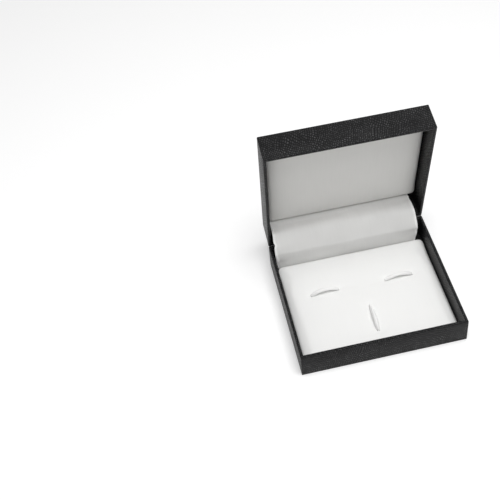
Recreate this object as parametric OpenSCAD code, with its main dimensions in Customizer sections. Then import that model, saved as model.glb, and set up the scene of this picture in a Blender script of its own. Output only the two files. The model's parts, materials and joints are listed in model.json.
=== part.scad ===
// A flat, square cufflink and tie clip box, standing open. Each half is a thin
// moulded tray in a grained black covering, with a crowned white pad inside.
// Two riveted spring hinges hide behind a curved white flap.
// Millimetres, +Z up, front at -Y. The origin is the middle of the underside.

/* [Box] */
// Width of the box, left to right
box_width = 90; // [76:1:130]
// Depth of the box, front to back
box_depth = 80; // [68:1:120]
// Height of the base half
base_height = 15; // [13:0.5:26]
// Height of the lid half
lid_height = 15.4; // [14:0.2:26]
// Angle that the lid stands open at rest, measured from shut
lid_open = 79; // [65:1:90]
// Gap between the two rims when the box is shut
rim_gap = 0.2; // [0.1:0.05:0.5]

/* [Shells and covering] */
// Wall of the moulded trays
shell_wall = 1.2; // [1:0.1:1.8]
// Floor of the base tray and top panel of the lid tray
shell_floor = 1.4; // [1:0.1:2]
// Thickness of the grained covering
wrap_t = 0.25; // [0.15:0.05:0.4]
// Radius of the upright corners
corner_r = 0.8; // [0.6:0.1:2]
// Width of the covering that is turned under the base
wrap_turn = 7; // [4:0.5:12]
// Gap all round the sheet that fills the opening underneath
sheet_gap = 0.3; // [0.1:0.1:1]

/* [Pads] */
// Gap between a pad and the walls beside it
pad_gap = 0.6; // [0.4:0.1:1.5]
// Gap between a pad and the flap
flap_gap = 0.2; // [0.1:0.05:0.5]
// Thickness of the base pad at its edge, before the crown
base_pad_t = 4.9; // [4.2:0.1:7]
// Rise of the base pad's crown in the middle
base_crown = 0.8; // [0.2:0.1:1.5]
// Thickness of the lid pad at its edge, before the crown
lid_pad_t = 4.9; // [4.2:0.1:7]
// Rise of the lid pad's crown in the middle
lid_crown = 0.6; // [0.2:0.1:1.5]
// Thickness of the card in each pad
card_t = 1; // [0.8:0.1:1.5]
// Thickness of the white pad cover
cover_t = 0.45; // [0.3:0.05:0.6]
// Width of the cover that is turned under the card
cover_turn = 6; // [3:0.5:10]
// Corner radius of the base pad
base_pad_r = 5; // [3:0.5:9]
// Corner radius of the lid pad
lid_pad_r = 3; // [2:0.5:9]
// Width of the soft roll along the edge of a pad
pad_roll = 4.2; // [3:0.1:6]

/* [Loops] */
// Distance of each cufflink loop's middle from its side of the box
loop_inset = 24; // [18:0.5:30]
// How far the cufflink loops lie behind the middle of the box
loop_y = 4.8; // [-5:0.2:15]
// Length of a cufflink loop, slit to slit
loop_length = 15; // [10:0.5:20]
// Width of a cufflink loop's strap
loop_width = 2.4; // [1.5:0.1:4]
// Height of a cufflink loop's arch
loop_rise = 1.9; // [1:0.1:4]
// Distance of the tie clip loop's middle in front of the middle of the box
tie_y = 18.3; // [12:0.1:24]
// Length of the tie clip loop, slit to slit
tie_length = 17.6; // [10:0.2:22]
// Width of the tie clip loop at its front end
tie_width = 2.9; // [2:0.1:4]
// Width of the tie clip loop at its rear end, where it gathers
tie_neck = 1.5; // [1:0.1:2]
// Height of the tie clip loop's arch
tie_rise = 2.6; // [1:0.1:4]
// Thickness of the loop straps
strap_t = 0.6; // [0.4:0.05:0.9]
// Clearance of a strap in its slit
slit_clear = 0.1; // [0.05:0.05:0.3]

/* [Hinge flap] */
// Gap from each side of the box to the flap's top and bottom corners
flap_side = 5.2; // [4:0.1:9]
// How far the flap sits to the left of the middle
flap_shift = 1.6; // [0:0.1:3]
// How far each end bows out half way up
flap_bow = 1.3; // [0.4:0.1:2]
// Distance of the flap's upright part from the hinge axis
flap_base_off = 7.8; // [6:0.1:10]
// Distance of the flap's lid part from the hinge axis
flap_lid_off = 10.4; // [8:0.1:12]
// Radius of the bend between those parts
flap_bend = 13; // [9:0.5:15]
// Thickness of the card in the flap
flap_card_t = 0.5; // [0.3:0.05:0.8]
// Thickness of the white covering on the flap
flap_cover_t = 0.3; // [0.2:0.05:0.5]
// Gap between the flap's hidden ends and the trays
flap_seat = 0.2; // [0.1:0.05:0.5]

/* [Spring hinges] */
// Distance of each hinge's middle from its side of the box
hinge_inset = 21; // [16:1:26]
// Length of a hinge along its pin
hinge_length = 15; // [12:0.5:20]
// Outer radius of the hinge barrel
barrel_r = 1; // [0.9:0.05:1.3]
// Radius of the hinge pin
pin_r = 0.5; // [0.4:0.05:0.6]
// Radial clearance of the pin in the knuckles
pin_clear = 0.04; // [0.02:0.01:0.08]
// Radius of the pin's heads
pin_head_r = 0.8; // [0.7:0.05:0.9]
// Thickness of the pin's heads
pin_head_t = 0.3; // [0.2:0.05:0.5]
// Side gap between neighbouring knuckles
knuckle_gap = 0.15; // [0.1:0.05:0.3]
// Length of each of the two base knuckles
base_knuckle = 4; // [3:0.5:5]
// Thickness of the hinge leaves
leaf_t = 0.5; // [0.35:0.05:0.6]
// Height of a leaf, from the hinge axis to its free edge
leaf_height = 9.5; // [8:0.5:11]
// Clearance of a hinge in the notches of the rear rims
notch_clear = 0.15; // [0.1:0.05:0.4]
// Distance between the two rivets of one leaf
rivet_pitch = 10; // [8:0.5:11]
// Distance of the rivets from the hinge axis
rivet_drop = 6.5; // [5:0.5:8]
// Radius of a rivet's shank
rivet_r = 0.6; // [0.4:0.05:0.8]
// Radius of a rivet's heads
rivet_head_r = 1.1; // [0.9:0.05:1.4]
// Thickness of a rivet's heads
rivet_head_t = 0.35; // [0.2:0.05:0.5]
// Clearance round a rivet
rivet_clear = 0.05; // [0.02:0.01:0.1]
// Thickness of the bow spring
spring_t = 0.3; // [0.2:0.05:0.35]
// Width of the bow spring
spring_width = 6; // [4:0.5:7]
// Length of the bow spring along each leaf
spring_reach = 7.5; // [5:0.5:8]
// Clearance between the spring and the leaves
spring_clear = 0.05; // [0.02:0.01:0.1]

/* [Hidden] */
$fn = 48;
// Small overshoot that makes a cut pass right through
cut = 0.5;
// Small overlap that joins two drawn parts of one piece
lap = 0.02;
// Whole thickness of a covered wall, floor and flap
wall = shell_wall + 2 * wrap_t;
floor_z = wrap_t + shell_floor;
flap_t = flap_card_t + 2 * flap_cover_t;
// Places that keep to the sides of the box
hinge_x = box_width / 2 - hinge_inset;
loop_x = box_width / 2 - loop_inset;
flap_length = box_width - 2 * flap_side;
// Hinge axis: along X, on the line of the outer rear edges
hinge_y = box_depth / 2;
hinge_z = base_height + rim_gap / 2;
// Rear edges of the pads, which the flap passes behind
base_pad_rear = hinge_y - flap_base_off - flap_t / 2 - flap_gap;
lid_pad_rear = hinge_y - flap_lid_off - flap_t / 2 - flap_gap;
pad_front = -box_depth / 2 + wall + pad_gap;
pad_half_x = box_width / 2 - wall - pad_gap;
base_pad_half_y = (base_pad_rear - pad_front) / 2;
base_pad_y = (base_pad_rear + pad_front) / 2;
lid_pad_half_y = (lid_pad_rear - pad_front) / 2;
lid_pad_y = (lid_pad_rear + pad_front) / 2;
// Hinge: where the leaf lies against the inside of the rear wall
leaf_face = wall + leaf_t;
pin_bore_r = pin_r + pin_clear;
notch_half = hinge_length / 2 + pin_head_t + 2 * notch_clear;
notch_depth = barrel_r - rim_gap / 2 + notch_clear;
rivet_bore_r = rivet_r + rivet_clear;
spring_off = leaf_face + spring_clear + spring_t / 2;
// Flap: where the two straight parts would meet, and the ends of the bend
flap_meet = (flap_lid_off - flap_base_off * cos(lid_open)) / sin(lid_open);
flap_tangent = flap_bend * tan(lid_open / 2);
flap_bend_z = flap_meet - flap_tangent;
flap_lid_start = flap_meet * cos(lid_open) - flap_base_off * sin(lid_open) + flap_tangent;
flap_base_end = floor_z + flap_seat - hinge_z;
flap_lid_end = lid_height - floor_z - flap_cover_t - flap_seat + rim_gap / 2;
// Pad rings: points on a long side, a short side and a corner arc
side_points = 8;
end_points = 6;
corner_points = 4;

// Places its children in the lid, whose rim plane is z = 0 before it opens
module in_lid() {
    translate([0, hinge_y, hinge_z]) rotate([-lid_open, 0, 0])
        translate([0, -hinge_y, rim_gap / 2]) children();
}

// Turns a lid tray's contents over, so that z counts inwards from the top panel
module in_lid_panel() {
    in_lid() translate([0, 0, lid_height]) mirror([0, 0, 1]) children();
}

// Extrudes a profile drawn in Y and Z along X, from x0 over a length
module along_x(x0, length) {
    translate([x0, 0, 0]) rotate([90, 0, 90]) linear_extrude(length) children();
}

// Rectangle with round corners, centred
module round_rect(w, d, r) {
    square([w - 2 * r, d], center = true);
    square([w, d - 2 * r], center = true);
    for (sx = [-1, 1], sy = [-1, 1]) translate([sx * (w / 2 - r), sy * (d / 2 - r)]) circle(r);
}

// The plan of the box, brought in by an amount on all sides
module plan(inset) {
    round_rect(box_width - 2 * inset, box_depth - 2 * inset, max(corner_r - inset, 0.2));
}

module slab(z0, z1, inset) { translate([0, 0, z0]) linear_extrude(z1 - z0) plan(inset); }

// Notches that let the hinges through the rear rim of a tray of height h
module hinge_notches(h) {
    for (s = [-1, 1]) translate([s * hinge_x - notch_half, box_depth / 2 - wall - cut, h - notch_depth])
        cube([2 * notch_half, wall + 2 * cut, notch_depth + cut]);
}

// Rivet bores through the rear wall of a tray of height h
module rivet_bores(h, r) {
    for (s = [-1, 1], k = [-1, 1])
        translate([s * hinge_x + k * rivet_pitch / 2, box_depth / 2 - wall - cut, h + rim_gap / 2 - rivet_drop])
            rotate([-90, 0, 0]) cylinder(r = r, h = wall - wrap_t + cut);
}

// Seats for the rivets' outer heads, under the covering
module rivet_seats(h) {
    for (s = [-1, 1], k = [-1, 1])
        translate([s * hinge_x + k * rivet_pitch / 2, box_depth / 2 - wrap_t - rivet_head_t - rivet_clear,
            h + rim_gap / 2 - rivet_drop])
            rotate([-90, 0, 0]) cylinder(r = rivet_head_r + rivet_clear, h = rivet_head_t + rivet_clear + cut);
}

// Moulded tray with its outer face down
module tray(h) {
    difference() {
        slab(wrap_t, h - wrap_t, wrap_t);
        slab(floor_z, h, wrap_t + shell_wall);
        hinge_notches(h);
        rivet_bores(h, rivet_bore_r);
        rivet_seats(h);
    }
}

// Covering of a tray: outer walls, rim and inner walls, and the outer face
module covering(h, opening) {
    difference() {
        slab(0, h, 0);
        slab(floor_z, h + cut, wall);
        difference() {
            slab(wrap_t, h - wrap_t, wrap_t);
            slab(floor_z, h, wrap_t + shell_wall);
        }
        if (opening > 0) slab(-cut, wrap_t + cut, opening);
        hinge_notches(h);
        rivet_bores(h, rivet_bore_r);
    }
}

// Points of one round-cornered ring, half sizes a and b, corner radius r
function ring(a, b, r) = let (
    ex = a - r, ey = b - r,
    arc = function (cx, cy, from) [for (i = [0:corner_points - 1])
        let (t = from + 90 * i / (corner_points - 1)) [cx + r * cos(t), cy + r * sin(t)]],
    run = function (p, q, n) [for (i = [1:n]) p + (q - p) * i / (n + 1)])
    concat(
        arc(ex, ey, 0), run([ex, b], [-ex, b], side_points),
        arc(-ex, ey, 90), run([-a, ey], [-a, -ey], end_points),
        arc(-ex, -ey, 180), run([-ex, -b], [ex, -b], side_points),
        arc(ex, -ey, 270), run([a, -ey], [a, ey], end_points));

// Height of the roll at a distance d in from the pad's edge, of full height t
function roll(d, t) = let (u = max(0, 1 - d / pad_roll), side = 0.5 * t)
    side + (t - side) * sqrt(max(0, 1 - u * u));

// Extra height of the crown at a point of a pad with half sizes a and b
function crown(p, a, b, c) = c * (1 - pow(p[0] / a, 2)) * (1 - pow(p[1] / b, 2));

// Rings of a pad's surface, from its bottom edge up to the ring round the middle
function pad_rings(a, b, r, t, c, skin) = let (
    insets = [0, 0, 0.04, 0.14, 0.32, 0.6, 1], far = [0.28, 0.5, 0.75], reach = b - skin - pad_roll)
    concat(
        [for (k = [0:len(insets) - 1]) let (
            d = insets[k] * pad_roll,
            z = k == 0 ? 0.15 * t : roll(d, t),
            low = k == 0 ? 0 : 1)
            [for (p = ring(a - skin - d, b - skin - d, r + d / 2)) [p[0], p[1], z - skin * low + low * crown(p, a, b, c)]]],
        [for (f = far) let (d = pad_roll + f * reach)
            [for (p = ring(a - skin - d, b - skin - d, min(r + pad_roll / 2, (b - skin - d) * 0.8)))
                [p[0], p[1], t - skin + crown(p, a, b, c)]]]);

// Faces between two rings of n points that start at indices i and j
function band(i, j, n) = [for (k = [0:n - 1]) let (m = (k + 1) % n)
    each [[i + k, j + k, j + m], [i + k, j + m, i + m]]];
function flip(faces) = [for (f = faces) [f[2], f[1], f[0]]];
function fan(i, c, n) = [for (k = [0:n - 1]) [i + k, c, i + (k + 1) % n]];

// Crowned cover with its edge turned under the card
module pad_cover(a, b, r, t, c) {
    n = len(ring(a, b, r));
    under = function (inset, z) [for (p = ring(a - inset, b - inset, r)) [p[0], p[1], z]];
    outer = concat([under(cover_turn, 0), under(cover_t, 0)], pad_rings(a, b, r, t, c, 0));
    inner = concat([under(cover_turn, cover_t), under(cover_t, cover_t)], inner_rings(a, b, r, t, c));
    no = len(outer); ni = len(inner);
    points = concat([for (g = outer) each g], [[0, 0, t + c]], [for (g = inner) each g], [[0, 0, t + c - cover_t]]);
    i0 = no * n + 1;
    polyhedron(points, concat(
        [for (k = [0:no - 2]) each flip(band(k * n, (k + 1) * n, n))],
        flip(fan((no - 1) * n, no * n, n)),
        [for (k = [0:ni - 2]) each band(i0 + k * n, i0 + (k + 1) * n, n)],
        fan(i0 + (ni - 1) * n, i0 + ni * n, n),
        band(0, i0, n)), convexity = 4);
}

// Rings of the cover's inner face above the card, shared with the foam
function inner_rings(a, b, r, t, c) = let (g = pad_rings(a, b, r, t, c, cover_t),
    top = cover_t + card_t)
    concat([[for (p = ring(a - cover_t, b - cover_t, r)) [p[0], p[1], top]]], [for (k = [1:len(g) - 1]) g[k]]);

// Foam that fills the cover above the card
module pad_foam(a, b, r, t, c) {
    g = inner_rings(a, b, r, t, c);
    n = len(g[0]); m = len(g);
    points = concat([for (q = g) each q], [[0, 0, t + c - cover_t], [0, 0, cover_t + card_t]]);
    polyhedron(points, concat(
        [for (k = [0:m - 2]) each flip(band(k * n, (k + 1) * n, n))],
        flip(fan((m - 1) * n, m * n, n)),
        fan(0, m * n + 1, n)), convexity = 2);
}

module pad_card(a, b, r) {
    translate([0, 0, cover_t]) linear_extrude(card_t) polygon(ring(a - cover_t, b - cover_t, r));
}

// Places its children on the floor of the base, at the middle of its pad
module at_base_pad() { translate([0, base_pad_y, floor_z]) children(); }
module at_lid_pad() { in_lid_panel() translate([0, lid_pad_y, floor_z]) children(); }

// Top of the base pad at a point of the box's plan
function pad_top(x, y) = floor_z + base_pad_t
    + crown([x, y - base_pad_y], pad_half_x, base_pad_half_y, base_crown);
leg_foot = floor_z + cover_t + card_t;

// Height at which a loop leaves the pad
loop_z = pad_top(loop_x - loop_length / 2, loop_y) + slit_clear;
tie_z = pad_top(0, -tie_y + tie_length / 2) + slit_clear;

// Side view of a strap arch: length between the slits, rise, and legs down to the card
module arch(length, rise, top) {
    chord = length / 2;
    r = (chord * chord + rise * rise) / (2 * rise);
    translate([0, top]) intersection() {
        translate([0, rise - r]) difference() { circle(r, $fn = 96); circle(r - strap_t, $fn = 96); }
        translate([-chord, 0]) square([length, rise]);
    }
    for (s = [-1, 1]) translate([s * (chord - strap_t / 2) - strap_t / 2, leg_foot])
        square([strap_t, top - leg_foot + strap_t]);
}

module cufflink_loop(side) {
    translate([side * loop_x, loop_y + loop_width / 2, 0]) rotate([90, 0, 0])
        linear_extrude(loop_width) arch(loop_length, loop_rise, loop_z);
}

module tie_arch() {
    intersection() {
        translate([0, -tie_y, 0]) along_x(-tie_width / 2, tie_width) arch(tie_length, tie_rise, tie_z);
        translate([0, -tie_y, 0]) linear_extrude(base_height) polygon([
            [-tie_width / 2, -tie_length / 2], [tie_width / 2, -tie_length / 2], [tie_width / 2, -tie_length / 6],
            [tie_neck / 2, tie_length / 2], [-tie_neck / 2, tie_length / 2], [-tie_width / 2, -tie_length / 6]]);
    }
}

// Slits for the straps, from the top of the card up through foam and cover
module slit(x, y, w, d) {
    translate([x - w / 2 - slit_clear, y - d / 2 - slit_clear, leg_foot - cut / 10])
        cube([w + 2 * slit_clear, d + 2 * slit_clear, base_height]);
}

module slits() {
    inset = strap_t / 2;
    for (s = [-1, 1], k = [-1, 1])
        slit(s * loop_x + k * (loop_length / 2 - inset), loop_y, strap_t, loop_width);
    slit(0, -tie_y - tie_length / 2 + inset, tie_width, strap_t);
    slit(0, -tie_y + tie_length / 2 - inset, tie_neck + strap_t / 2, strap_t);
}

// Side view of the flap about the hinge axis: upright part, bend and lid part
module flap_profile(t, tip) {
    translate([-flap_base_off - t / 2, flap_base_end]) square([t, flap_bend_z - flap_base_end + lap]);
    translate([flap_bend - flap_base_off, flap_bend_z]) intersection() {
        difference() { circle(flap_bend + t / 2, $fn = 96); circle(flap_bend - t / 2, $fn = 96); }
        polygon([[0, 0], for (a = [180, 180 - lid_open / 2, 180 - lid_open]) 2 * flap_bend * [cos(a), sin(a)]]);
    }
    rotate(-lid_open) translate([-flap_lid_off - t / 2, flap_lid_start - lap])
        square([t, flap_lid_end - flap_lid_start + lap + tip]);
}

// Front view of the flap, with ends that bow out
module flap_outline(grow) {
    low = floor_z; high = hinge_z + flap_meet + flap_bend / 2;
    half = flap_length / 2 + grow;
    steps = 12;
    edge = [for (i = [0:steps]) let (u = 2 * i / steps - 1)
        [half + flap_bow * (1 - u * u), low + (high - low) * i / steps]];
    polygon(concat([[half, 0]], edge, [for (i = [0:steps]) [-edge[steps - i][0], edge[steps - i][1]]], [[-half, 0]]));
}

module flap_form(t, grow, tip) {
    translate([-flap_shift, 0, 0]) intersection() {
        translate([0, hinge_y, hinge_z]) along_x(-box_width / 2, box_width) flap_profile(t, tip);
        translate([0, box_depth, 0]) rotate([90, 0, 0]) linear_extrude(box_depth) flap_outline(grow);
    }
}

// Side view of a hinge leaf about the hinge axis: barrel, strip through the notch and plate
module leaf_finger() {
    difference() {
        union() {
            circle(barrel_r);
            translate([-leaf_face, -barrel_r]) square([leaf_face, leaf_t]);
        }
        circle(pin_bore_r);
    }
}

module leaf(fingers) {
    difference() {
        union() {
            for (f = fingers) along_x(f[0], f[1]) leaf_finger();
            translate([-hinge_length / 2, -leaf_face, -leaf_height])
                cube([hinge_length, leaf_t, leaf_height - barrel_r + leaf_t]);
        }
        for (k = [-1, 1]) translate([k * rivet_pitch / 2, -leaf_face - cut, -rivet_drop])
            rotate([-90, 0, 0]) cylinder(r = rivet_bore_r, h = leaf_t + 2 * cut);
    }
}

module base_leaf(side) {
    translate([side * hinge_x, hinge_y, hinge_z])
        leaf([[-hinge_length / 2, base_knuckle], [hinge_length / 2 - base_knuckle, base_knuckle]]);
}

module lid_leaf(side) {
    inner = hinge_length - 2 * base_knuckle - 2 * knuckle_gap;
    in_lid() translate([side * hinge_x, hinge_y, -rim_gap / 2]) mirror([0, 0, 1])
        leaf([[-inner / 2, inner]]);
}

module hinge_pin(side) {
    translate([side * hinge_x, hinge_y, hinge_z]) rotate([0, 90, 0]) {
        cylinder(r = pin_r, h = hinge_length + 2 * notch_clear, center = true);
        for (s = [-1, 1]) translate([0, 0, s * (hinge_length / 2 + notch_clear / 2 + pin_head_t / 2)])
            cylinder(r = pin_head_r, h = pin_head_t, center = true);
    }
}

// Bow spring: along both leaves and round the hinge axis
module hinge_spring(side) {
    translate([side * hinge_x, hinge_y, hinge_z]) along_x(-spring_width / 2, spring_width) {
        translate([-spring_off - spring_t / 2, -spring_reach]) square([spring_t, spring_reach]);
        intersection() {
            difference() { circle(spring_off + spring_t / 2); circle(spring_off - spring_t / 2); }
            polygon([[0, 0], for (a = [180, 180 - lid_open / 2, 180 - lid_open]) 2 * spring_off * [cos(a), sin(a)]]);
        }
        rotate(-lid_open) translate([-spring_off - spring_t / 2, 0]) square([spring_t, spring_reach]);
    }
}

// The four rivets of one half, for a tray of height h
module rivets(h) {
    for (s = [-1, 1], k = [-1, 1])
        translate([s * hinge_x + k * rivet_pitch / 2, box_depth / 2, h + rim_gap / 2 - rivet_drop]) rotate([90, 0, 0]) {
            translate([0, 0, wrap_t]) cylinder(r = rivet_r, h = leaf_face - wrap_t + rivet_head_t);
            translate([0, 0, wrap_t]) cylinder(r = rivet_head_r, h = rivet_head_t);
            translate([0, 0, leaf_face]) cylinder(r = rivet_head_r, h = rivet_head_t);
        }
}

module base_shell() { color("dimgray") tray(base_height); }

module base_wrap() { color([0.1, 0.1, 0.11]) covering(base_height, wrap_turn); }

module bottom_sheet() { color([0.08, 0.08, 0.08]) slab(0, wrap_t, wrap_turn + sheet_gap); }

module base_pad_card() { color("tan") at_base_pad() pad_card(pad_half_x, base_pad_half_y, base_pad_r); }

module base_pad_foam() {
    color("ivory") difference() {
        at_base_pad() pad_foam(pad_half_x, base_pad_half_y, base_pad_r, base_pad_t, base_crown);
        slits();
    }
}

module base_pad_cover() {
    color([0.95, 0.95, 0.94]) difference() {
        at_base_pad() pad_cover(pad_half_x, base_pad_half_y, base_pad_r, base_pad_t, base_crown);
        slits();
    }
}

module cufflink_loop_left() { color([0.93, 0.93, 0.92]) cufflink_loop(-1); }
module cufflink_loop_right() { color([0.93, 0.93, 0.92]) cufflink_loop(1); }
module tie_clip_loop() { color([0.93, 0.93, 0.92]) tie_arch(); }

module flap_card() { color("tan") flap_form(flap_card_t, 0, 0); }

module flap_cover() {
    color([0.9, 0.9, 0.89]) difference() {
        flap_form(flap_t, flap_cover_t, flap_cover_t);
        flap_form(flap_card_t, 0, 0);
    }
}

module hinge_base_leaf_left() { color("silver") base_leaf(-1); }
module hinge_base_leaf_right() { color("silver") base_leaf(1); }
module hinge_pin_left() { color("lightgray") hinge_pin(-1); }
module hinge_pin_right() { color("lightgray") hinge_pin(1); }
module hinge_spring_left() { color("gray") hinge_spring(-1); }
module hinge_spring_right() { color("gray") hinge_spring(1); }
module hinge_base_rivets() { color("lightgray") rivets(base_height); }

module lid_shell() { color("dimgray") in_lid_panel() tray(lid_height); }
module lid_wrap() { color([0.1, 0.1, 0.11]) in_lid_panel() covering(lid_height, 0); }
module lid_pad_card() { color("tan") at_lid_pad() pad_card(pad_half_x, lid_pad_half_y, lid_pad_r); }

module lid_pad_foam() {
    color("ivory") at_lid_pad() pad_foam(pad_half_x, lid_pad_half_y, lid_pad_r, lid_pad_t, lid_crown);
}

module lid_pad_cover() {
    color([0.9, 0.9, 0.89]) at_lid_pad() pad_cover(pad_half_x, lid_pad_half_y, lid_pad_r, lid_pad_t, lid_crown);
}

module hinge_lid_leaf_left() { color("silver") lid_leaf(-1); }
module hinge_lid_leaf_right() { color("silver") lid_leaf(1); }
module hinge_lid_rivets() { color("lightgray") in_lid_panel() rivets(lid_height); }

base_shell();
base_wrap();
bottom_sheet();
base_pad_card();
base_pad_foam();
base_pad_cover();
cufflink_loop_left();
cufflink_loop_right();
tie_clip_loop();
flap_card();
flap_cover();
hinge_base_leaf_left();
hinge_base_leaf_right();
hinge_pin_left();
hinge_pin_right();
hinge_spring_left();
hinge_spring_right();
hinge_base_rivets();
lid_shell();
lid_wrap();
lid_pad_card();
lid_pad_foam();
lid_pad_cover();
hinge_lid_leaf_left();
hinge_lid_leaf_right();
hinge_lid_rivets();
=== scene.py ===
# %% [markdown]
# # A cufflink and tie clip box, standing open
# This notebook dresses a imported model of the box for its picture. The model gives every
# piece its place, and nothing here moves it. The box is two thin moulded trays in a black
# grained covering, joined by two spring hinges. Each tray holds a crowned white pad, and
# a curved white flap hides the hinges. The pads, flap, loops and coverings are modelled
# again here with their soft forms and fine edges. Hard hidden pieces keep the mesh they
# came with and get a proper finish.

import json
import math

import bmesh
import bpy
import numpy as np
from mathutils import Matrix, Vector


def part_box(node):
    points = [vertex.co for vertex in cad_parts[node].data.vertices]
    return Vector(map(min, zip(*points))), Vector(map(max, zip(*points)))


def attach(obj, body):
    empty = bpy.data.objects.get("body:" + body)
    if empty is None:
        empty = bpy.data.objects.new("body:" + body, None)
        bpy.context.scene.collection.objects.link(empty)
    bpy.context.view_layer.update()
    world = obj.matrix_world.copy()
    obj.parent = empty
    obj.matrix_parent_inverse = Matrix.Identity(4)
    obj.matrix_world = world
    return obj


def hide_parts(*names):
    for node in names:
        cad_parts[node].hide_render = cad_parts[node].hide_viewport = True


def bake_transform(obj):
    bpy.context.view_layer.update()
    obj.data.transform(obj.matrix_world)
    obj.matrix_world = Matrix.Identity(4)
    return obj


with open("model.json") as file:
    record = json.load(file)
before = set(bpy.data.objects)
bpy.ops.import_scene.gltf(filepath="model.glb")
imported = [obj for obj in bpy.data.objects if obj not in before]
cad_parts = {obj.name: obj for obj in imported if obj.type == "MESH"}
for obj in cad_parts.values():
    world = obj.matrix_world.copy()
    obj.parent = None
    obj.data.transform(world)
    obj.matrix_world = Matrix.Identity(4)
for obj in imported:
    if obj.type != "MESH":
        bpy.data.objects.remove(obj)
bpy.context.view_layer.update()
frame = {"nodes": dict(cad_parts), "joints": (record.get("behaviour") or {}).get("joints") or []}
nodes = frame["nodes"]
print("pieces in the packed model:", len(nodes))

# %% [markdown]
# ## Sizes
# One unit is a metre, so sizes are written in millimetres and multiplied by MM. The hinge
# axis and the open angle are read from the joint. The few lengths below are the ones that
# the construction drawing names, so each new piece lands on the place of the old one.

# %% Sizes of the box
MM = 0.001
hinge = frame["joints"][0]
HINGE = Vector(hinge["pos_m"])
OPEN = math.radians(hinge["range_deg"][1])
wrap_low, wrap_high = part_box("base_wrap")
WIDTH, DEPTH = wrap_high.x - wrap_low.x, wrap_high.y - wrap_low.y
BASE_HEIGHT = wrap_high.z
RIM_GAP = 2 * (HINGE.z - BASE_HEIGHT)
LID_HEIGHT = 15.4 * MM
WALL = 1.7 * MM
FLOOR = 1.65 * MM
COVERING = 0.25 * MM
TURN_IN = 7 * MM
print("box", round(WIDTH / MM, 1), "x", round(DEPTH / MM, 1), "mm, open", round(math.degrees(OPEN)))


# %% [markdown]
# The lid is modelled lying on its back, like a second tray, and then swung into place.
# One matrix does that: turn it over sideways, lift it onto the base, and open it.

# %% Where the lid stands
def lid_place():
    """Takes a tray that lies on its outer face to the open lid's place."""
    closed = Matrix.Translation((0, -HINGE.y, RIM_GAP / 2 + LID_HEIGHT)) @ Matrix.Rotation(math.pi, 4, "Y")
    opened = Matrix.Translation(HINGE) @ Matrix.Rotation(-OPEN, 4, "X")
    return opened @ closed


LID_PLACE = lid_place()

# %% [markdown]
# ## Camera
# The picture is taken from above and to the left. The lens and place were found by
# matching the corners of the box, so they are plain numbers here. The small shift stands
# for the crop of the picture, in which the box isn't in the middle.

# %% Camera
camera_data = bpy.data.cameras.new("camera")
camera = bpy.data.objects.new("camera", camera_data)
bpy.context.scene.collection.objects.link(camera)
camera.location = (-91.24 * MM, -327.79 * MM, 416.55 * MM)
camera.rotation_euler = [math.radians(a) for a in (41.97, 2.881, -13.04)]
camera_data.sensor_width = 36
camera_data.lens = 69.80
camera_data.shift_x, camera_data.shift_y = -0.10, 0.01
camera_data.clip_start, camera_data.clip_end = 0.01, 20
bpy.context.scene.camera = camera


# %% [markdown]
# ## A small kit for materials
# Shader maths is easier to read as a formula than as a web of nodes. Wire wraps the output
# of a node, so that adding or multiplying two wires adds a Math node. Paint holds one
# material and makes every other node through a single method.

# %% Wire and Paint
class Wire:
    """The output of a shader node, which can be used in formulas."""

    def __init__(self, paint, socket):
        self.paint, self.socket = paint, socket

    def math(self, operation, *values, clamp=False):
        settings = {"operation": operation, "use_clamp": clamp}
        return self.paint.add("ShaderNodeMath", settings, dict(enumerate(values)))

    def __add__(self, other):
        return self.math("ADD", self, other)

    def __radd__(self, other):
        return self.math("ADD", other, self)

    def __sub__(self, other):
        return self.math("SUBTRACT", self, other)

    def __rsub__(self, other):
        return self.math("SUBTRACT", other, self)

    def __mul__(self, other):
        return self.math("MULTIPLY", self, other)

    def sine(self):
        return self.math("SINE", self)

    def clamped(self):
        return self.math("ADD", self, 0.0, clamp=True)


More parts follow.
